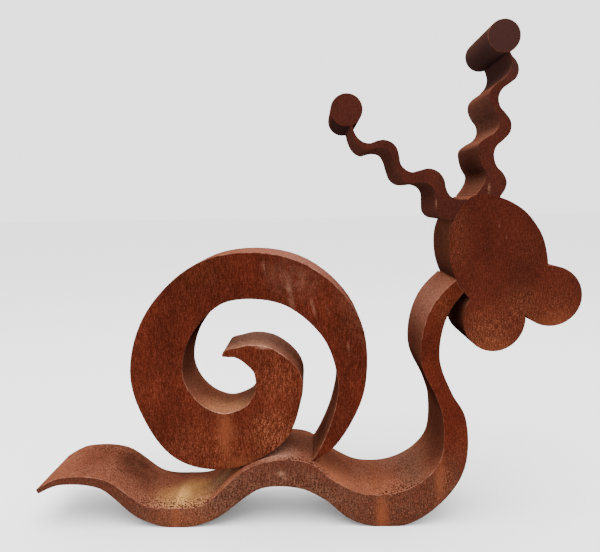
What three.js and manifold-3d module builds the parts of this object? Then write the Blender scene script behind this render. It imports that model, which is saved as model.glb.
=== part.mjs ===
// A garden sculpture of a snail, welded up from weathering steel plate.
// Every piece is a flat outline with straight sides, like a deep cut-out letter,
// so each one is drawn in the X-Z plane and given its own depth along Y.
// +X runs from the tail to the nose, +Y away from the viewer, +Z up, millimetres.
// The origin is on the ground, in the middle of the length and of the depth.

import * as THREE from 'three';
import { mergeVertices } from 'three/addons/utils/BufferGeometryUtils.js';
import Module from 'manifold-3d';

const wasm = await Module();
wasm.setup();

// Driving sizes
const LENGTH = 2570;
const BODY_DEPTH = 400;
const HEAD_DEPTH = 360;
const SHELL_DEPTH = 305;
const TENTACLE_DEPTH = 385;
const EYE_DEPTH = 390;
const EYE_DIAMETER = 143;
const WELD_GAP = 0.3;
const EYE_SIDES = 48;

// The outlines are free forms: their stations are hundredths of the length.
const SHARE = LENGTH / 100;
const FRONT = -BODY_DEPTH / 2;
const BAND_STEPS = 8;
const EDGE_STEPS = 4;
const LEAST_ADVANCE = 4;
const SAME_POINT = 1e-4;

// A band is a wavy strip: each station is [along, up, width], in order along its middle.
const BODY = [
  [-50.0, 7.2, 0.9],
  [-47.8, 8.4, 1.1],
  [-45.3, 9.2, 1.4],
  [-37.7, 8.6, 1.9],
  [-30.2, 3.0, 2.8],
  [-24.1, 1.8, 3.8],
  [-18.0, 2.8, 3.4],
  [-8.6, 9.7, 4.6],
  [-0.4, 10.2, 5.3],
  [5.0, 7.1, 4.0],
  [10.8, 3.6, 5.7],
  [18.2, 3.4, 6.5],
  [24.4, 7.1, 5.4],
  [27.7, 12.1, 4.7],
  [27.9, 20.4, 4.1],
  [26.1, 24.8, 2.9],
  [23.4, 31.9, 3.4],
  [25.0, 40.6, 3.2],
  [31.6, 48.3, 2.0],
];

const SHELL = [
  [1.9, 12.0, 0.2],
  [4.6, 14.8, 2.1],
  [7.7, 20.5, 3.7],
  [9.4, 27.4, 5.2],
  [7.2, 38.0, 7.7],
  [-1.9, 46.0, 8.5],
  [-15.3, 46.4, 8.6],
  [-24.1, 38.7, 9.3],
  [-26.9, 29.6, 9.8],
  [-25.2, 23.1, 10.2],
  [-20.6, 17.5, 11.7],
  [-15.1, 16.0, 11.1],
  [-10.7, 17.0, 10.4],
  [-6.8, 19.5, 9.9],
  [-4.4, 24.4, 8.7],
  [-4.2, 27.1, 8.9],
  [-6.4, 30.9, 6.3],
  [-9.5, 32.6, 3.9],
  [-12.2, 33.0, 1.8],
  [-13.8, 32.8, 1.3],
  [-14.5, 32.4, 0.4],
];

// A tentacle's two edges, from the eye down into the head: points [along, up] of a smooth line.
// Upper is the side towards the nose, and lower the side towards the tail.
const LEFT_TENTACLE = {
  upper: [
    [9.6, 74.1], [9.9, 72.4], [10.7, 71.1], [11.8, 70.4], [12.8, 70.3], [14.0, 70.7], [15.2, 70.8],
    [16.5, 70.3], [17.3, 69.4], [17.7, 68.1], [18.0, 66.6], [18.8, 65.7], [19.9, 65.2], [21.3, 65.5],
    [22.9, 65.8], [24.5, 65.2], [25.5, 63.9], [25.9, 62.2], [26.6, 61.0], [28.1, 60.3], [30.3, 60.4],
  ],
  lower: [
    [9.1, 74.1], [9.5, 72.2], [10.1, 70.7], [10.9, 69.7], [12.1, 69.1], [13.4, 69.4], [14.6, 69.5],
    [15.8, 69.1], [16.6, 67.8], [17.1, 66.1], [17.8, 64.4], [18.9, 63.5], [20.3, 63.3], [22.0, 63.4],
    [23.3, 62.8], [24.0, 61.7], [24.1, 60.0], [24.3, 58.1], [25.4, 57.0], [27.6, 56.8], [29.7, 56.8],
  ],
};

const RIGHT_TENTACLE = {
  upper: [
    [36.1, 85.9], [36.6, 84.5], [37.5, 83.4], [37.9, 82.1], [37.5, 80.7], [36.4, 79.8], [35.2, 78.9],
    [34.6, 77.6], [34.9, 76.0], [36.0, 74.7], [36.8, 73.4], [36.7, 71.7], [35.6, 70.4], [34.4, 69.3],
    [34.0, 67.9], [34.5, 66.0], [35.6, 64.8], [36.3, 63.3], [36.0, 61.9], [35.3, 60.8], [34.7, 59.3],
  ],
  lower: [
    [35.7, 85.9], [36.4, 84.4], [36.7, 83.1], [36.3, 81.7], [35.3, 80.5], [34.0, 79.6], [33.2, 78.6],
    [33.1, 77.3], [33.7, 75.8], [34.7, 74.3], [34.8, 72.8], [34.0, 71.6], [32.6, 70.8], [31.4, 69.7],
    [31.4, 68.1], [32.0, 66.2], [32.8, 64.7], [32.6, 63.5], [31.9, 62.2], [31.0, 61.0], [30.2, 59.4],
  ],
};

// The head's face is an uneven oval: points [along, up] of a smooth closed line, anticlockwise from its top.
const FACE = [
  [32.8, 61.2], [30.5, 60.9], [29.0, 59.6], [27.6, 57.4], [26.7, 54.9], [26.5, 51.9], [27.0, 48.5],
  [28.5, 45.0], [31.0, 42.2], [33.7, 40.5], [36.5, 39.5], [39.3, 40.2], [41.7, 41.9], [43.3, 44.7],
  [43.9, 47.8], [43.6, 50.9], [42.8, 53.7], [41.4, 56.1], [39.6, 58.2], [37.4, 59.7], [35.3, 60.6],
];

// The nose and the chin are plain ellipses: [along, up, half width, half height, tilt].
const NOSE = [44.5, 43.1, 5.5, 5.4, 0];
const CHIN = [34.7, 39.1, 5.5, 5.9, -8];
const LOBE_SIDES = 56;

const LEFT_EYE = [8.65, 76.0];
const RIGHT_EYE = [35.3, 87.6];

const RUST = { color: 0x7a3b24, roughness: 0.9, metalness: 0.35 };
const DARK_RUST = { color: 0x5f3325, roughness: 0.85, metalness: 0.35 };

// A smooth line through stations given in hundredths of the length.
function smoothRows(stations, steps, closed = false) {
  const points = stations.map(([x, y, z = 0]) => new THREE.Vector3(x, y, z).multiplyScalar(SHARE));
  const line = new THREE.CatmullRomCurve3(points, closed);
  const spans = closed ? stations.length : stations.length - 1;
  return line.getPoints(spans * steps);
}

function flat(rows) {
  return rows.map((row) => new THREE.Vector2(row.x, row.y));
}

// Outline of a band: one edge out and the other edge back, as points in the X-Z plane.
// Inside a tight bend an edge would fold back on itself, so a point that hardly advances is left out.
function bandOutline(stations, steps) {
  const rows = smoothRows(stations, steps);
  const edges = [[], []];
  rows.forEach((row, i) => {
    const before = rows[Math.max(i - 1, 0)];
    const after = rows[Math.min(i + 1, rows.length - 1)];
    const ahead = new THREE.Vector2(after.x - before.x, after.y - before.y).normalize();
    const across = new THREE.Vector2(-ahead.y, ahead.x).multiplyScalar(row.z / 2);
    edges.forEach((edge, side) => {
      const point = new THREE.Vector2(row.x, row.y).addScaledVector(across, side ? 1 : -1);
      const last = edge[edge.length - 1];
      if (!last || point.clone().sub(last).dot(ahead) > LEAST_ADVANCE) {
        edge.push(point);
      }
    });
  });
  return edges[0].concat(edges[1].reverse());
}

// Outline between two edges that run the same way.
function stripOutline({ upper, lower }, steps) {
  return flat(smoothRows(lower, steps)).concat(flat(smoothRows(upper, steps)).reverse());
}

// Outline of a closed smooth line, whose last point is its first again.
function loopOutline(stations, steps) {
  return flat(smoothRows(stations, steps, true)).slice(0, -1);
}

// Outline of an ellipse, tilted anticlockwise by its last value, in degrees.
function ovalOutline([along, up, halfWidth, halfHeight, tilt], sides) {
  const centre = new THREE.Vector2(along, up).multiplyScalar(SHARE);
  return Array.from({ length: sides }, (_, i) => {
    const angle = (2 * Math.PI * i) / sides;
    return new THREE.Vector2(halfWidth * Math.cos(angle), halfHeight * Math.sin(angle))
      .multiplyScalar(SHARE)
      .rotateAround(new THREE.Vector2(), THREE.MathUtils.degToRad(tilt))
      .add(centre);
  });
}

function circleOutline([along, up], diameter, sides) {
  const share = diameter / 2 / SHARE;
  return ovalOutline([along, up, share, share, 0], sides);
}

// The same outline with each point moved out along its normal.
function grown(outline, distance) {
  const count = outline.length;
  return outline.map((point, i) => {
    const before = outline[(i + count - 1) % count];
    const after = outline[(i + 1) % count];
    const outward = new THREE.Vector2(after.y - before.y, before.x - after.x).normalize();
    return point.clone().addScaledVector(outward, distance);
  });
}

// A solid with the outline's shape, running back along Y from its front.
function slab(outline, front, depth) {
  const geometry = new THREE.ExtrudeGeometry(new THREE.Shape(outline), {
    depth,
    bevelEnabled: false,
  });
  geometry.rotateX(Math.PI / 2).translate(0, front + depth, 0);
  geometry.deleteAttribute('normal');
  geometry.deleteAttribute('uv');
  const merged = mergeVertices(geometry, SAME_POINT);
  return new wasm.Manifold(
    new wasm.Mesh({
      numProp: 3,
      vertProperties: new Float32Array(merged.attributes.position.array),
      triVerts: new Uint32Array(merged.index.array),
    }),
  );
}

// A cutter with the outline's shape, a gap wider all round and right through every depth.
function cutter(outline, gap) {
  return slab(grown(outline, gap), FRONT - LENGTH / 2, LENGTH);
}

function mesh(name, solid, look) {
  const { vertProperties, triVerts } = solid.getMesh();
  const geometry = new THREE.BufferGeometry();
  geometry.setAttribute('position', new THREE.BufferAttribute(new Float32Array(vertProperties), 3));
  geometry.setIndex(new THREE.BufferAttribute(new Uint32Array(triVerts), 1));
  const piece = new THREE.Mesh(geometry, new THREE.MeshStandardMaterial(look));
  piece.name = name;
  return piece;
}

const bodyOutline = bandOutline(BODY, BAND_STEPS);
const headOutlines = [
  loopOutline(FACE, EDGE_STEPS),
  ovalOutline(NOSE, LOBE_SIDES),
  ovalOutline(CHIN, LOBE_SIDES),
];
const leftEyeOutline = circleOutline(LEFT_EYE, EYE_DIAMETER, EYE_SIDES);
const rightEyeOutline = circleOutline(RIGHT_EYE, EYE_DIAMETER, EYE_SIDES);

// Everything that meets the head is cut to the head's outline.
function clearOfHead(solid) {
  return headOutlines.reduce((left, outline) => left.subtract(cutter(outline, WELD_GAP)), solid);
}

function underground() {
  const outline = [
    new THREE.Vector2(-LENGTH, -LENGTH),
    new THREE.Vector2(LENGTH, -LENGTH),
    new THREE.Vector2(LENGTH, 0),
    new THREE.Vector2(-LENGTH, 0),
  ];
  return slab(outline, -LENGTH, 2 * LENGTH);
}

function buildBody() {
  const whole = slab(bodyOutline, FRONT, BODY_DEPTH);
  return clearOfHead(whole.subtract(underground()));
}

function buildShell() {
  const whole = slab(bandOutline(SHELL, BAND_STEPS), -SHELL_DEPTH / 2, SHELL_DEPTH);
  return whole.subtract(cutter(bodyOutline, WELD_GAP));
}

function buildHead() {
  return headOutlines
    .map((outline) => slab(outline, FRONT, HEAD_DEPTH))
    .reduce((all, lobe) => all.add(lobe));
}

function buildTentacle(edges, eyeOutline) {
  const whole = slab(stripOutline(edges, EDGE_STEPS), FRONT, TENTACLE_DEPTH);
  return clearOfHead(whole).subtract(cutter(eyeOutline, WELD_GAP));
}

const snail = new THREE.Group();
snail.add(
  mesh('body', buildBody(), RUST),
  mesh('shell', buildShell(), RUST),
  mesh('head', buildHead(), RUST),
  mesh('left_tentacle', buildTentacle(LEFT_TENTACLE, leftEyeOutline), DARK_RUST),
  mesh('left_eye', slab(leftEyeOutline, FRONT, EYE_DEPTH), DARK_RUST),
  mesh('right_tentacle', buildTentacle(RIGHT_TENTACLE, rightEyeOutline), DARK_RUST),
  mesh('right_eye', slab(rightEyeOutline, FRONT, EYE_DEPTH), DARK_RUST),
);

// The middle of the length is the middle of the finished solids.
const box = new THREE.Box3().setFromObject(snail);
snail.position.x = -(box.min.x + box.max.x) / 2;

export default snail;
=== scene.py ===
"""A snail in rusted steel, looked at from the side that the photo shows. Metres, +X tail to nose, +Z up.

Each CAD node is dressed in a copy of itself with round edges, pale in places from wear and painted highlights.
The weld beads are the one new piece.
"""

import math
import random

import bmesh
import bpy
from mathutils import Matrix, Vector
from mathutils.bvhtree import BVHTree


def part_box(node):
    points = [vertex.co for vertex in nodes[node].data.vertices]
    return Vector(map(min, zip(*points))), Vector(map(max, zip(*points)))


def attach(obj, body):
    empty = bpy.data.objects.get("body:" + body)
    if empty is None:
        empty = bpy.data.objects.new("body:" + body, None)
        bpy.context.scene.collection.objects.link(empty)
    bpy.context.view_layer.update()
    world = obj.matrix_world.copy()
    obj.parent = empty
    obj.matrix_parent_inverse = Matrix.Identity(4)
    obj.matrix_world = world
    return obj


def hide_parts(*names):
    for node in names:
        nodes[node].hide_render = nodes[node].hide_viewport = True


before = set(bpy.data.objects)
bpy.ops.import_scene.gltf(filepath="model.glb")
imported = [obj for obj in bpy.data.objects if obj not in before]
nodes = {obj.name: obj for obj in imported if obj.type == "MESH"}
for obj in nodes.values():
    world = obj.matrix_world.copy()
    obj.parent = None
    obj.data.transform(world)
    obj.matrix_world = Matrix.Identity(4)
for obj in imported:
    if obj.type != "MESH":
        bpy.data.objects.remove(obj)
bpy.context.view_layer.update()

# Y of the front plates: body, head and tentacles, and the shell, which is set back
FRONT = -0.2
SHELL_FRONT = -0.1525

# Skins over the CAD nodes
SAME_POINT = 1e-5
FLAT_ANGLE = math.radians(0.3)
SHARP_ANGLE = math.radians(35)
EDGE_RADIUS = 0.0025
SHELL_EDGE_RADIUS = 0.0045
EDGE_SEGMENTS = 3
EDGE_PROFILE = 0.6

# Weld beads: their size ripples between two shares of the radius, and tapers at both ends
BEAD_RADIUS = 0.004
BEAD_STEP = 0.004
BEAD_SIDES = 8
BEAD_RIPPLE = (0.82, 1.0)
BEAD_TAPER = (0.55, 0.7)
TOUCH = 0.001

# Camera: a pinhole at a standing viewer's eye height, with a lens as long as its sensor is wide
CAMERA_PLACE = Vector((0.0703, -2.9208, 1.55))
CAMERA_PITCH = math.radians(6.981)
CAMERA_YAW = math.radians(1.326)
CAMERA_ROLL = math.radians(-1.007)
LENS = 36
SENSOR_WIDTH = 36

# Floor and light
FLOOR_HALF = 60
FLOOR_LEVEL = -0.001
FLOOR_GREY = 0.92
FLOOR_ROUGHNESS = 0.9
WORLD_STRENGTH = 2.4
SKY_PLACE = Vector((-0.8, -2.6, 8.0))
SKY_TARGET = Vector((0, 0, 0.8))
SKY_SIZE = 9.0
SKY_POWER = 1100

random.seed(4)


def linked(name, data):
    """A new object, put into the scene."""
    thing = bpy.data.objects.new(name, data)
    bpy.context.scene.collection.objects.link(thing)
    return thing


ahead = Vector((
    -math.sin(CAMERA_YAW) * math.cos(CAMERA_PITCH),
    math.cos(CAMERA_YAW) * math.cos(CAMERA_PITCH),
    -math.sin(CAMERA_PITCH),
))
level_right = ahead.cross(Vector((0, 0, 1))).normalized()
level_up = level_right.cross(ahead)
right = level_right * math.cos(CAMERA_ROLL) + level_up * math.sin(CAMERA_ROLL)
up = level_up * math.cos(CAMERA_ROLL) - level_right * math.sin(CAMERA_ROLL)
camera = linked("camera", bpy.data.cameras.new("camera"))
camera.data.lens = LENS
camera.data.sensor_width = SENSOR_WIDTH
turned = Matrix((right, up, -ahead)).transposed().to_4x4()
camera.matrix_world = Matrix.Translation(CAMERA_PLACE) @ turned
bpy.context.scene.camera = camera


class Nodes:
    """Short names for building a node tree. A number or colour is set on its socket, and a socket is linked."""

    def __init__(self, owner):
        owner.use_nodes = True
        self.tree = owner.node_tree
        self.tree.nodes.clear()

    def add(self, kind, inputs=(), out=0, **settings):
        node = self.tree.nodes.new(kind)
        for key, value in settings.items():
            setattr(node, key, value)
        for key, value in dict(inputs).items():
            if isinstance(value, bpy.types.NodeSocket):
                self.tree.links.new(value, node.inputs[key])
            else:
                node.inputs[key].default_value = value
        return node.outputs[out] if len(node.outputs) else None

    def math(self, operation, a, b):
        return self.add("ShaderNodeMath", {0: a, 1: b}, operation=operation)

    def times(self, a, b):
        return self.math("MULTIPLY", a, b)

    def spread(self, value, low, high, to_low=0.0, to_high=1.0):
        """Eases a value from the range low to high into the range to_low to to_high."""
        return self.add("ShaderNodeMapRange", {0: value, 1: low, 2: high, 3: to_low, 4: to_high},
                        interpolation_type="SMOOTHSTEP")

    def axes(self, vector):
        return self.add("ShaderNodeSeparateXYZ", {0: vector}).node.outputs

    def noise(self, place, scale, detail, roughness):
        return self.add("ShaderNodeTexNoise", {
            "Vector": place, "Scale": scale, "Detail": detail, "Roughness": roughness,
        })

    def stretched(self, place, x, y, z):
        return self.add("ShaderNodeMapping", {"Vector": place, "Scale": (x, y, z)})

    def mix(self, share, under, over):
        """One colour over another: over alone where the share is 1."""
        return self.add("ShaderNodeMix", {0: share, 6: under, 7: over}, out=2, data_type="RGBA")

    def tone(self, colour, value):
        """A colour made lighter or darker."""
        return self.add("ShaderNodeHueSaturation", {2: value, 4: colour})

    def spot(self, place, centre, size, turn=0.0):
        """1 at a centre, and 0 from an ellipsoid of the given half sizes on, turned about Y by some degrees."""
        scaled = self.add("ShaderNodeMapping", {
            "Vector": place, "Location": centre, "Rotation": (0.0, math.radians(turn), 0.0), "Scale": size,
        }, vector_type="TEXTURE")
        length = self.add("ShaderNodeVectorMath", {0: scaled}, out=1, operation="LENGTH")
        return self.spread(length, 1.0, 0.0)

    def most(self, place, spots, least=0.0):
        """The strongest of several spots: (centre, size, strength) or (centre, size, strength, turn)."""
        result = least
        for centre, size, strength, *turn in spots:
            here = self.times(self.spot(place, centre, size, *turn), strength)
            result = self.math("MAXIMUM", result, here)
        return result


def rgb(red, green, blue):
    return (red, green, blue, 1.0)


FLAT_RUST = rgb(0.0515, 0.0089, 0.0045)
FLAT_DARK = rgb(0.034, 0.0061, 0.0033)
FLAT_ORANGE = rgb(0.101, 0.0262, 0.0108)
SPECK_ORANGE = rgb(0.20, 0.074, 0.040)
TOP_RUST = rgb(0.116, 0.0350, 0.0190)
TOP_PALE = rgb(0.144, 0.0500, 0.0290)
# Painted shade on the bent sides where they stand upright
WALL_SHADE_BROWN = rgb(0.048, 0.0138, 0.0080)
PIT_BROWN = rgb(0.016, 0.005, 0.0036)
# Painted shade on the bent sides where they face down, almost black
UNDERSIDE_SHADE_BROWN = rgb(0.008, 0.0022, 0.0015)
# Darker patches, partly stains and partly painted shadow
STAIN_AND_SHADOW_BROWN = rgb(0.030, 0.0095, 0.0050)
# Painted fill light: a lighter, greyer colour over shaded tops and walls
PAINTED_FILL_GREY = rgb(0.150, 0.064, 0.043)
SOIL = rgb(0.055, 0.0200, 0.0120)
PALE_SOIL = rgb(0.088, 0.0375, 0.0225)
RUN_ORANGE = rgb(0.135, 0.0375, 0.0155)
# Pale wear, also used as painted light and painted highlights
PALE_WEAR_AND_LIGHT = rgb(0.36, 0.175, 0.115)
TAN = rgb(0.65, 0.33, 0.100)
SCALE = rgb(0.50, 0.25, 0.125)
OLIVE = rgb(0.19, 0.098, 0.050)
ROSE = rgb(0.185, 0.071, 0.050)
WARM = rgb(0.215, 0.069, 0.034)
DULL = rgb(0.080, 0.0400, 0.0240)
# Grey-black rust, also used as painted shade at the eye joints
SOOT_AND_SHADE = rgb(0.023, 0.0108, 0.0095)
WHITE = rgb(1.0, 1.0, 1.0)


def rust(name, coarse_spots=(), stains_and_painted_light=(), pitted=(), flecks=(), runs=(), scuffs_and_highlights=(), sooty_and_shade=(),
         coarse=0.3, soiled=0.0, dark=0.0, edge_wear_and_highlight=0.0, underside_shade=1.0):
    """Weathered steel. Flat plates are dark with an upright grain, tops pale and pitted; on the bent sides
    painted shade turns upright walls brown and undersides almost black.

    coarse_spots: places where the plates' grain turns coarse and orange.
    stains: (colour, places) on the bent sides, for real marks, painted fill light and painted shade.
    pitted: places of dense pits on the bent sides.
    flecks: places of pale loose scale on the bent sides.
    runs, scuffs, sooty: places of orange run-off, pale rubs and painted highlights, and grey-black rust that is
    partly painted shade, on every side.
    coarse: how coarse the plates' grain turns elsewhere, in broad clouds.
    soiled: how much dust and splashed soil the plates hold near the ground.
    dark: how much grey-black rust there is everywhere.
    worn: how much pale wear shows on upward-facing edges, partly as a painted highlight.
    deep: how dark the painted shade on the undersides is.
    """
    material = bpy.data.materials.new(name)
    n = Nodes(material)
    place = n.add("ShaderNodeTexCoord", out=3)
    along, _, height = n.axes(place)
    _, back, upward = n.axes(n.add("ShaderNodeNewGeometry", out=1))
    plate = n.spread(n.math("ABSOLUTE", back, 0.0), 0.45, 0.9)

    # Noises, the finest ones first: scale, detail and roughness
    short = n.noise(n.stretched(place, 1.0, 1.0, 0.42), 300.0, 2.0, 0.7)
    long = n.noise(n.stretched(place, 1.0, 1.0, 0.12), 280.0, 2.0, 0.6)
    grain = n.math("ADD", n.times(short, 0.6), n.times(long, 0.4))
    fine = n.noise(place, 210.0, 2.0, 0.6)
    dent = n.noise(n.stretched(place, 1.0, 0.55, 1.0), 135.0, 2.0, 0.6)
    pit = n.noise(place, 125.0, 3.0, 0.65)
    patch = n.noise(place, 19.0, 5.0, 0.65)
    mottle = n.noise(n.stretched(place, 1.0, 1.0, 0.5), 6.0, 6.0, 0.6)
    broad = n.noise(place, 2.2, 3.0, 0.5)

    # Flat plates, a little darker high up
    amount = n.most(place, coarse_spots, n.spread(broad, 0.4, 0.75, 0.0, coarse))
    flat = n.mix(n.spread(mottle, 0.35, 0.68), FLAT_DARK, FLAT_RUST)
    flat = n.mix(n.times(amount, 0.45), flat, FLAT_ORANGE)
    if soiled:
        # Paler, with more pits and upright streaks, on the rear trough and the hump
        low = n.spread(height, 0.47, 0.16, 0.0, soiled)
        rear = n.times(n.spread(along, 0.4, 0.0), n.spread(along, -0.9, -0.62))
        flat = n.mix(n.times(low, n.spread(patch, 0.3, 0.65, 0.55, 1.0)), flat, n.mix(rear, SOIL, PALE_SOIL))
        holes = n.spread(pit, n.spread(rear, 0.0, 1.0, 0.49, 0.53), 0.42)
        holes = n.times(holes, n.times(low, n.spread(rear, 0.0, 1.0, 0.55, 1.0)))
        flat = n.mix(n.times(holes, 0.9), flat, PIT_BROWN)
        streak = n.noise(n.stretched(place, 1.0, 1.0, 0.3), 120.0, 2.0, 0.65)
        streaked = n.times(n.spread(streak, 0.36, 0.64, -0.38, 0.38), n.times(low, rear))
        flat = n.tone(flat, n.math("ADD", streaked, 1.0))
    specks = n.times(n.spread(grain, 0.5, 0.64), n.spread(amount, 0.0, 1.0, 0.07, 0.38))
    flat = n.mix(specks, flat, SPECK_ORANGE)
    darkest = n.spread(amount, 0.0, 1.0, 0.58, 0.32)
    lightest = n.spread(amount, 0.0, 1.0, 1.40, 1.65)
    flat = n.tone(flat, n.spread(grain, 0.36, 0.64, darkest, lightest))
    flat = n.tone(flat, n.spread(height, 0.6, 1.3, 1.0, 0.80))

    # Bent sides: pale on top, with painted shade that is brown where upright and almost black below, then marks
    # and then pits
    side = n.mix(n.spread(mottle, 0.3, 0.7), TOP_RUST, TOP_PALE)
    side = n.mix(n.spread(upward, 0.8, -0.05), side, WALL_SHADE_BROWN)
    side = n.mix(n.spread(upward, 0.0, -0.6, 0.0, underside_shade), side, UNDERSIDE_SHADE_BROWN)
    for tint, places in stains_and_painted_light:
        side = n.mix(n.times(n.most(place, places), n.spread(patch, 0.3, 0.6, 0.6, 1.0)), side, tint)
    side = n.tone(side, n.spread(fine, 0.3, 0.7, 0.5, 1.5))
    pits = n.times(n.spread(pit, 0.44, 0.35), n.spread(patch, 0.4, 0.6, 0.3, 0.95))
    if pitted:
        dense = n.most(place, pitted)
        side = n.mix(n.times(n.spread(dent, 0.52, 0.64), n.times(dense, 0.5)), side, SPECK_ORANGE)
        pits = n.math("MAXIMUM", pits, n.times(n.spread(dent, 0.50, 0.41), dense))
    if flecks:
        side = n.mix(n.times(n.spread(dent, 0.52, 0.62), n.most(place, flecks)), side, SCALE)
    side = n.mix(pits, side, PIT_BROWN)

    # Marks that reach over the edges from one side to the next
    colour = n.mix(plate, side, flat)
    if runs:
        run = n.times(n.most(place, runs), n.spread(grain, 0.3, 0.6, 0.5, 1.0))
        colour = n.mix(run, colour, RUN_ORANGE)
    if scuffs_and_highlights:
        smear = n.times(n.spread(patch, 0.35, 0.62, 0.15, 1.0), n.spread(fine, 0.38, 0.62, 0.1, 1.0))
        colour = n.mix(n.times(n.most(place, scuffs_and_highlights), smear), colour, PALE_WEAR_AND_LIGHT)
    # Pale wear on upward-facing edges, partly a painted highlight where light falls from above
    if edge_wear_and_highlight:
        patchy = n.spread(n.noise(place, 34.0, 4.0, 0.7), 0.40, 0.66, 0.1 * edge_wear_and_highlight, edge_wear_and_highlight)
        colour = n.mix(n.times(patchy, n.spread(upward, -0.3, 0.5)), colour, PALE_WEAR_AND_LIGHT)
    # Grey-black rust; the spots of it are partly painted shade under the eyes
    if dark or sooty_and_shade:
        colour = n.mix(n.most(place, sooty_and_shade, dark), colour, SOOT_AND_SHADE)

    relief = n.math("ADD", n.times(fine, 0.5), n.times(pit, 0.8))
    bump = n.add("ShaderNodeBump", {"Strength": 0.6, "Distance": 0.0025, "Height": relief})
    rough = n.spread(pit, 0.3, 0.7, 0.8, 1.0)
    shader = n.add("ShaderNodeBsdfPrincipled", {
        "Base Color": colour, "Roughness": rough, "Metallic": 0.0, "Normal": bump, "Specular IOR Level": 0.0,
    })
    n.add("ShaderNodeOutputMaterial", {0: shader})
    return material


def is_sharp(edge):
    return len(edge.link_faces) == 2 and edge.calc_face_angle() > SHARP_ANGLE


def skin(node, material, edge_material, radius):
    """A copy of a CAD node with its edges ground round and its bent sides smooth. It stands for the node."""
    mesh = nodes[node].data.copy()
    mesh.materials.clear()
    mesh.materials.append(material)
    mesh.materials.append(edge_material)
    shape = bmesh.new()
    shape.from_mesh(mesh)
    bmesh.ops.remove_doubles(shape, verts=shape.verts, dist=SAME_POINT)
    bmesh.ops.dissolve_limit(shape, angle_limit=FLAT_ANGLE, verts=shape.verts, edges=shape.edges)
    for face in shape.faces:
        face.material_index = 0
    sharp = [edge for edge in shape.edges if is_sharp(edge)]
    bmesh.ops.bevel(shape, geom=sharp, offset=radius, segments=EDGE_SEGMENTS, profile=EDGE_PROFILE,
                    affect="EDGES", material=1, clamp_overlap=True)
    bmesh.ops.triangulate(shape, faces=[face for face in shape.faces if len(face.verts) > 4])
    for face in shape.faces:
        face.smooth = True
    for edge in shape.edges:
        edge.smooth = not is_sharp(edge)
    shape.to_mesh(mesh)
    shape.free()
    piece = linked(node + "_skin", mesh)
    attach(piece, "root")
    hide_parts(node)
    return piece


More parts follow.
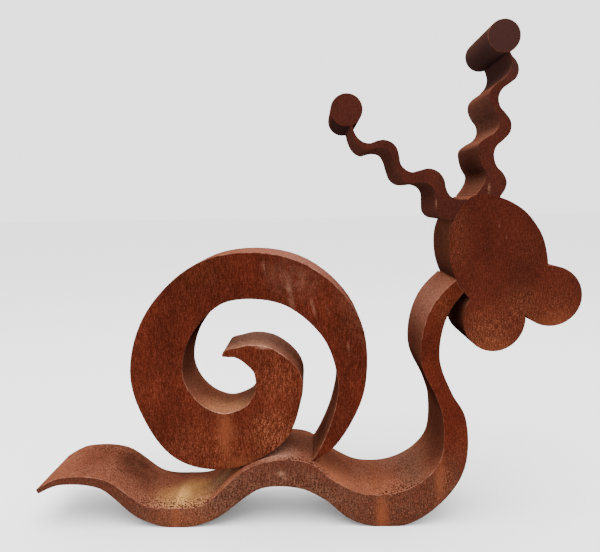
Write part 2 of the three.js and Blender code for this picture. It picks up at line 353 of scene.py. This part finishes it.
# Places on the snail are (centre, half sizes, strength) and sometimes a turn in degrees
EDGE = rust(
    "worn_and_highlit_edge",
    # Painted highlights along the shell's top rim and the curl's top edge, and pale wear on the inner bottom's
    # lip
    scuffs_and_highlights=[
        ((0.02, SHELL_FRONT, 1.26), (0.24, 0.06, 0.12), 0.8),
        ((-0.16, SHELL_FRONT, 0.87), (0.2, 0.06, 0.08), 1.4),
        ((-0.37, SHELL_FRONT, 0.56), (0.15, 0.06, 0.06), 1.9),
    ],
    edge_wear_and_highlight=0.5,
)
BODY = rust(
    "body_rust",
    coarse_spots=[
        ((0.68, FRONT, 0.207), (0.1, 0.08, 0.16), 1.0),
        ((-0.55, FRONT, 0.05), (0.3, 0.08, 0.12), 0.9),
        ((0.4, FRONT, 0.1), (0.35, 0.08, 0.25), 0.8),
        ((0.65, FRONT, 1.07), (0.1, 0.08, 0.15), 0.5),
    ],
    runs=[
        ((-0.612, FRONT, 0.06), (0.045, 0.03, 0.14), 0.85),
        ((0.381, FRONT, 0.05), (0.05, 0.03, 0.17), 0.9),
        ((0.655, FRONT, 0.23), (0.04, 0.03, 0.2), 0.6),
        ((0.37, 0.0, 0.159), (0.05, 0.25, 0.05), 0.5),
        ((-0.58, FRONT, 0.05), (0.25, 0.03, 0.14), 0.4),
    ],
    flecks=[((-0.58, FRONT, 0.1), (0.26, 0.18, 0.14), 0.75)],
    pitted=[
        ((-0.6, FRONT, 0.1), (0.36, 0.2, 0.14), 1.4),
        ((-0.42, -0.12, 0.15), (0.14, 0.14, 0.12), 0.85),
        ((-1.02, 0.13, 0.26), (0.3, 0.12, 0.1), 0.7),
        ((-0.93, -0.08, 0.21), (0.35, 0.22, 0.14), 0.5),
        ((0.53, 0.03, 0.2), (0.16, 0.25, 0.12), 0.5),
        ((0.48, -0.18, 0.17), (0.25, 0.12, 0.12), 1.3),
        ((-0.03, -0.19, 0.3), (0.34, 0.09, 0.14), 1.2),
    ],
    stains_and_painted_light=[
        # Painted fill light on shaded sides: the hump under the shell, a far wall and the neck's left wall
        (PAINTED_FILL_GREY, [
            ((0.0, 0.0, 0.33), (0.22, 0.3, 0.1), 0.35),
            ((0.5, 0.16, 0.18), (0.25, 0.12, 0.1), 0.5),
            ((0.62, 0.0, 1.1), (0.16, 0.5, 0.26), 0.65),
        ]),
        (WARM, [
            ((0.18, -0.14, 0.23), (0.2, 0.22, 0.14), 1.0),
            ((0.36, -0.14, 0.16), (0.2, 0.22, 0.08), 0.8),
            ((0.11, -0.1, 0.27), (0.12, 0.15, 0.1), 0.9),
            ((-0.38, -0.17, 0.19), (0.13, 0.14, 0.13), 0.7),
        ]),
        (OLIVE, [((-0.43, -0.03, 0.15), (0.16, 0.16, 0.13), 0.9)]),
        (STAIN_AND_SHADOW_BROWN, [
            ((-0.88, 0.09, 0.2), (0.24, 0.24, 0.2), 0.85),
            ((-0.62, 0.24, 0.1), (0.42, 0.17, 0.12), 0.9),
            # Painted shadow under the shell
            ((-0.39, 0.12, 0.17), (0.12, 0.15, 0.14), 0.8),
            ((0.66, 0.0, 0.3), (0.13, 0.4, 0.15), 0.6),
            ((0.68, 0.0, 0.5), (0.1, 0.5, 0.2), 0.4),
            ((-1.04, 0.06, 0.26), (0.24, 0.34, 0.1), 0.42),
        ]),
        (TAN, [
            ((-0.602, -0.06, 0.09), (0.075, 0.19, 0.07), 0.95),
            ((-0.59, -0.08, 0.09), (0.2, 0.19, 0.12), 0.5),
            ((-0.56, 0.02, 0.09), (0.13, 0.14, 0.08), 0.4),
        ]),
        (DULL, [((0.56, 0.0, 0.2), (0.13, 0.4, 0.12), 0.75)]),
        # Painted light, lifting the shell's shadow where the shell rests on the hump
        (PALE_WEAR_AND_LIGHT, [((-0.12, -0.12, 0.335), (0.14, 0.15, 0.07), 0.85)]),
    ],
    scuffs_and_highlights=[
        ((-0.1, FRONT, 0.268), (0.035, 0.05, 0.022), 0.45),
        ((-0.085, FRONT, 0.25), (0.02, 0.05, 0.03), 0.35),
    ],
    coarse=0.6,
    soiled=0.9,
)
# The shell's rubs all lean one way, over a faint cloud, so that no letter can be read into them
SHELL = rust(
    "shell_rust",
    coarse_spots=[
        ((-0.12, SHELL_FRONT, 0.43), (0.26, 0.1, 0.24), 1.0),
        ((-0.1, SHELL_FRONT, 0.72), (0.22, 0.1, 0.32), 0.55),
        ((-0.4, SHELL_FRONT, 0.36), (0.5, 0.1, 0.3), 0.5),
    ],
    runs=[
        ((-0.367, SHELL_FRONT, 0.46), (0.065, 0.05, 0.2), 0.65),
        ((-0.27, SHELL_FRONT, 0.3), (0.2, 0.06, 0.06), 0.6),
    ],
    stains_and_painted_light=[
        # Painted fill light on the spiral's shaded top
        (PAINTED_FILL_GREY, [((-0.2, 0.06, 0.88), (0.34, 0.4, 0.16), 1.0)]),
        (ROSE, [((0.02, 0.0, 1.25), (0.5, 0.5, 0.28), 1.0)]),
        (WARM, [((-0.37, -0.1, 0.56), (0.24, 0.18, 0.1), 0.95)]),
        (STAIN_AND_SHADOW_BROWN, [((0.085, 0.0, 0.42), (0.09, 0.3, 0.16), 0.75)]),
        (DULL, [((-0.27, 0.0, 0.58), (0.08, 0.3, 0.08), 0.6)]),
        (PALE_WEAR_AND_LIGHT, [
            # Painted light on the spiral's top; the next place is pale wear on the inner bottom's front edge
            ((-0.24, 0.02, 0.88), (0.25, 0.5, 0.12), 0.36),
            ((-0.36, -0.06, 0.56), (0.2, 0.2, 0.08), 0.2),
        ]),
        (TAN, [((-0.37, -0.08, 0.56), (0.2, 0.2, 0.08), 0.12)]),
    ],
    scuffs_and_highlights=[
        ((-0.03, SHELL_FRONT, 1.2), (0.2, 0.03, 0.13), 0.16, 20),
        ((-0.16, SHELL_FRONT, 1.25), (0.012, 0.03, 0.07), 0.24, -12),
        ((-0.045, SHELL_FRONT, 1.14), (0.028, 0.03, 0.12), 0.36, -13),
        ((0.06, SHELL_FRONT, 1.08), (0.014, 0.03, 0.1), 0.28, -15),
        ((0.13, SHELL_FRONT, 1.06), (0.010, 0.03, 0.06), 0.26, -16),
        ((0.229, SHELL_FRONT, 0.87), (0.010, 0.03, 0.04), 0.35, -8),
        ((0.3, SHELL_FRONT, 1.05), (0.14, 0.03, 0.3), 0.12, -30),
        # A painted highlight along the curl's top edge
        ((-0.16, SHELL_FRONT, 0.882), (0.08, 0.05, 0.025), 0.9),
    ],
)
HEAD = rust(
    "head_rust",
    coarse_spots=[
        ((0.87, FRONT, 0.91), (0.24, 0.1, 0.25), 1.0),
        ((1.18, FRONT, 1.02), (0.28, 0.1, 0.22), 0.6),
        ((0.72, FRONT, 1.38), (0.1, 0.1, 0.3), 0.5),
        ((1.02, FRONT, 1.05), (0.2, 0.1, 0.2), 0.7),
    ],
    runs=[
        ((0.9, FRONT, 0.85), (0.2, 0.06, 0.09), 0.3),
        ((1.2, FRONT, 0.96), (0.2, 0.06, 0.11), 0.5),
    ],
    scuffs_and_highlights=[
        ((0.907, FRONT, 1.43), (0.006, 0.03, 0.014), 0.5),
        ((0.94, FRONT, 1.38), (0.005, 0.03, 0.010), 0.4),
    ],
    # A darker patch on the head's left wall below the left tentacle: partly dirt, partly painted shadow of the
    # tentacle
    stains_and_painted_light=[(STAIN_AND_SHADOW_BROWN, [((0.69, 0.0, 1.38), (0.1, 0.4, 0.3), 0.7)])],
    dark=0.10,
)
STALK = rust(
    "tentacle_rust",
    scuffs_and_highlights=[
        ((0.62, FRONT, 1.533), (0.010, 0.03, 0.035), 0.8),
        ((0.858, FRONT, 1.595), (0.01, 0.03, 0.035), 0.8),
    ],
    # Grey-black rust at the right eye's joint, partly painted shade under the eye
    sooty_and_shade=[((0.96, 0.1, 2.13), (0.3, 0.9, 0.2), 0.85)],
    stains_and_painted_light=[
        # Painted fill light on a shaded wall of the right tentacle
        (PAINTED_FILL_GREY, [((0.88, 0.1, 1.93), (0.14, 0.5, 0.16), 0.3)]),
        # Painted shade on the tentacles' walls, under the right eye and along the left tentacle
        (UNDERSIDE_SHADE_BROWN, [
            ((0.95, 0.1, 2.13), (0.16, 0.5, 0.1), 0.8),
            ((0.6, 0.1, 1.58), (0.07, 0.5, 0.1), 0.7),
            ((0.42, 0.1, 1.7), (0.07, 0.5, 0.12), 0.5),
        ]),
    ],
    coarse=0.12,
    dark=0.3,
    # A lighter painted shade on the undersides
    underside_shade=0.35,
)
LEFT_EYE = rust("left_eye_rust", coarse=0.15, dark=0.35)
RIGHT_EYE = rust("right_eye_rust", coarse=0.1, dark=0.8)

LOOKS = {
    "body": BODY,
    "shell": SHELL,
    "head": HEAD,
    "left_tentacle": STALK,
    "right_tentacle": STALK,
    "left_eye": LEFT_EYE,
    "right_eye": RIGHT_EYE,
}
for node, look in LOOKS.items():
    piece = skin(node, look, EDGE, SHELL_EDGE_RADIUS if node == "shell" else EDGE_RADIUS)


def surface(node):
    mesh = nodes[node].data
    return BVHTree.FromPolygons([v.co for v in mesh.vertices], [p.vertices for p in mesh.polygons])


def even(points, step):
    """Points a step apart along a line."""
    spaced = [points[0]]
    for point in points[1:]:
        start = spaced[-1]
        length = (point - start).length
        count = int(length / step)
        spaced.extend(start.lerp(point, (i + 1) * step / length) for i in range(count))
    return spaced


def bead(shape, points):
    """A rippled weld bead along a line."""
    line = even(points, BEAD_STEP)
    last = len(line) - 1
    rings = []
    for i, point in enumerate(line):
        onward = (line[min(i + 1, last)] - line[max(i - 1, 0)]).normalized()
        across = onward.orthogonal().normalized()
        outward = onward.cross(across)
        radius = BEAD_RADIUS * random.uniform(*(BEAD_TAPER if i in (0, last) else BEAD_RIPPLE))
        rings.append([
            shape.verts.new(point + radius * (across * math.cos(a) + outward * math.sin(a)))
            for a in (2 * math.pi * k / BEAD_SIDES for k in range(BEAD_SIDES))
        ])
    for one, two in zip(rings, rings[1:]):
        for k in range(BEAD_SIDES):
            after = (k + 1) % BEAD_SIDES
            shape.faces.new((one[k], one[after], two[after], two[k]))
    shape.faces.new(list(reversed(rings[0])))
    shape.faces.new(rings[-1])


def joint_line(node, other):
    """Corners of one node's front that touch another node, in order round the other from its underside."""
    tree = surface(other)
    low, high = (Vector(corner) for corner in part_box(other))
    middle = (low + high) / 2
    corners = [v.co for v in nodes[node].data.vertices]
    front = min(c.y for c in corners)
    touching = [c for c in corners if c.y < front + TOUCH and tree.find_nearest(c)[3] < TOUCH]
    quarter = math.pi / 2
    return sorted(
        touching,
        key=lambda c: (math.atan2(c.z - middle.z, c.x - middle.x) + quarter) % (2 * math.pi),
    )


JOINTS = (
    ("body", "head"),
    ("left_tentacle", "head"),
    ("right_tentacle", "head"),
    ("left_tentacle", "left_eye"),
    ("right_tentacle", "right_eye"),
)
beads = bmesh.new()
for node, other in JOINTS:
    line = joint_line(node, other)
    boxes = [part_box(name) for name in (node, other)]
    front = max(low[1] for low, _ in boxes) + BEAD_RADIUS
    back = min(high[1] for _, high in boxes) - BEAD_RADIUS
    for y in (front, back):
        bead(beads, [Vector((c.x, y, c.z)) for c in line])
    for end in (line[0], line[-1]):
        bead(beads, [Vector((end.x, front, end.z)), Vector((end.x, back, end.z))])

# Seams across the body's top, where one sheet ends and the next begins: X, a height above it, and the far end's Y
SEAMS = (("body", -0.618, 0.25, 0.04), ("body", 0.376, 0.3, 0.2))
for node, x, above, until in SEAMS:
    top, _, _, _ = surface(node).ray_cast(Vector((x, 0.0, above)), Vector((0, 0, -1)))
    ends = (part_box(node)[0][1] + BEAD_RADIUS, until - BEAD_RADIUS)
    bead(beads, [Vector((x, y, top.z - BEAD_RADIUS / 2)) for y in ends])

for face in beads.faces:
    face.smooth = True
bead_mesh = bpy.data.meshes.new("weld_beads")
beads.to_mesh(bead_mesh)
beads.free()
bead_mesh.materials.append(rust(
    "bead_rust",
    stains_and_painted_light=[(TAN, [((-0.613, -0.06, 0.09), (0.12, 0.3, 0.1), 1.0)])],
    # Grey-black rust on the beads at the eye joints, partly painted shade
    sooty_and_shade=[
        ((0.93, 0.0, 2.15), (0.2, 0.5, 0.2), 1.0),
        ((0.25, 0.0, 1.87), (0.2, 0.5, 0.12), 0.6),
    ],
    coarse=0.5,
    edge_wear_and_highlight=0.12,
))
welds = linked("weld_beads", bead_mesh)
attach(welds, "root")

floor_look = bpy.data.materials.new("floor")
n = Nodes(floor_look)
n.add("ShaderNodeOutputMaterial", {0: n.add("ShaderNodeBsdfPrincipled", {
    "Base Color": rgb(FLOOR_GREY, FLOOR_GREY, FLOOR_GREY), "Roughness": FLOOR_ROUGHNESS,
})})
floor_mesh = bpy.data.meshes.new("floor")
floor_mesh.from_pydata(
    [(x * FLOOR_HALF, y * FLOOR_HALF, FLOOR_LEVEL) for x, y in ((-1, -1), (1, -1), (1, 1), (-1, 1))],
    [],
    [(0, 1, 2, 3)],
)
floor_mesh.materials.append(floor_look)
floor = linked("floor", floor_mesh)

world = bpy.data.worlds.new("world")
bpy.context.scene.world = world
n = Nodes(world)
n.add("ShaderNodeOutputWorld", {0: n.add("ShaderNodeBackground", {0: WHITE, 1: WORLD_STRENGTH})})

sky = bpy.data.lights.new("sky", "AREA")
sky.shape = "DISK"
sky.size = SKY_SIZE
sky.energy = SKY_POWER
sky_lamp = linked("sky", sky)
sky_lamp.location = SKY_PLACE
sky_lamp.rotation_euler = (SKY_TARGET - SKY_PLACE).to_track_quat("-Z", "Y").to_euler()
